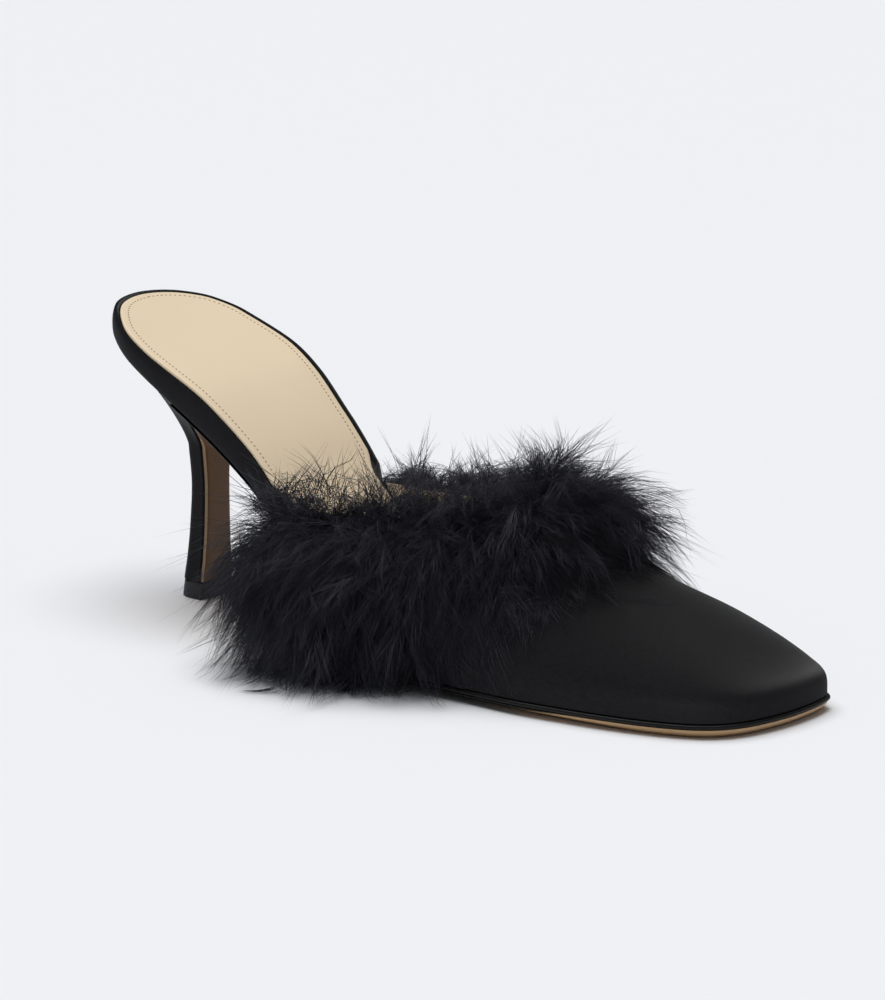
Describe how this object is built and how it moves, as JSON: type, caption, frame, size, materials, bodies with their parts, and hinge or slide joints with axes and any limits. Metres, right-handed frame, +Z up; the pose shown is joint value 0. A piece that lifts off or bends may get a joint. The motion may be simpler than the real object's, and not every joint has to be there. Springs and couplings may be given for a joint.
{
  "type": "marabou slipper",
  "caption": "Right-foot backless marabou mule: black satin vamp with a feather trim along its topline, slim high heel, pale leather sock and tan leather sole.",
  "frame": {"origin": "middle of the heel's tip, on the floor that heel and forefoot stand on", "axes": "+X along the shoe to the toe, +Y to the inner side of the foot, +Z up"},
  "size_m": [0.2285, 0.12, 0.0798],
  "materials": {
    "sole_leather": "smooth burnished sole leather",
    "edge_lacquer": "glossy black edge lacquer",
    "satin": "black satin with a broad soft sheen",
    "sock_leather": "matt pale lining leather",
    "heel_rubber": "matt black top-piece rubber",
    "feather": "fluffy black marabou down"
  },
  "bodies": {
    "root": {"outsole": "sole_leather", "rand": "edge_lacquer", "footbed": "satin", "insole_sock": "sock_leather", "upper": "satin", "heel": "satin", "heel_top_piece": "heel_rubber", "feather_trim": "feather"}
  },
  "joints": []
}
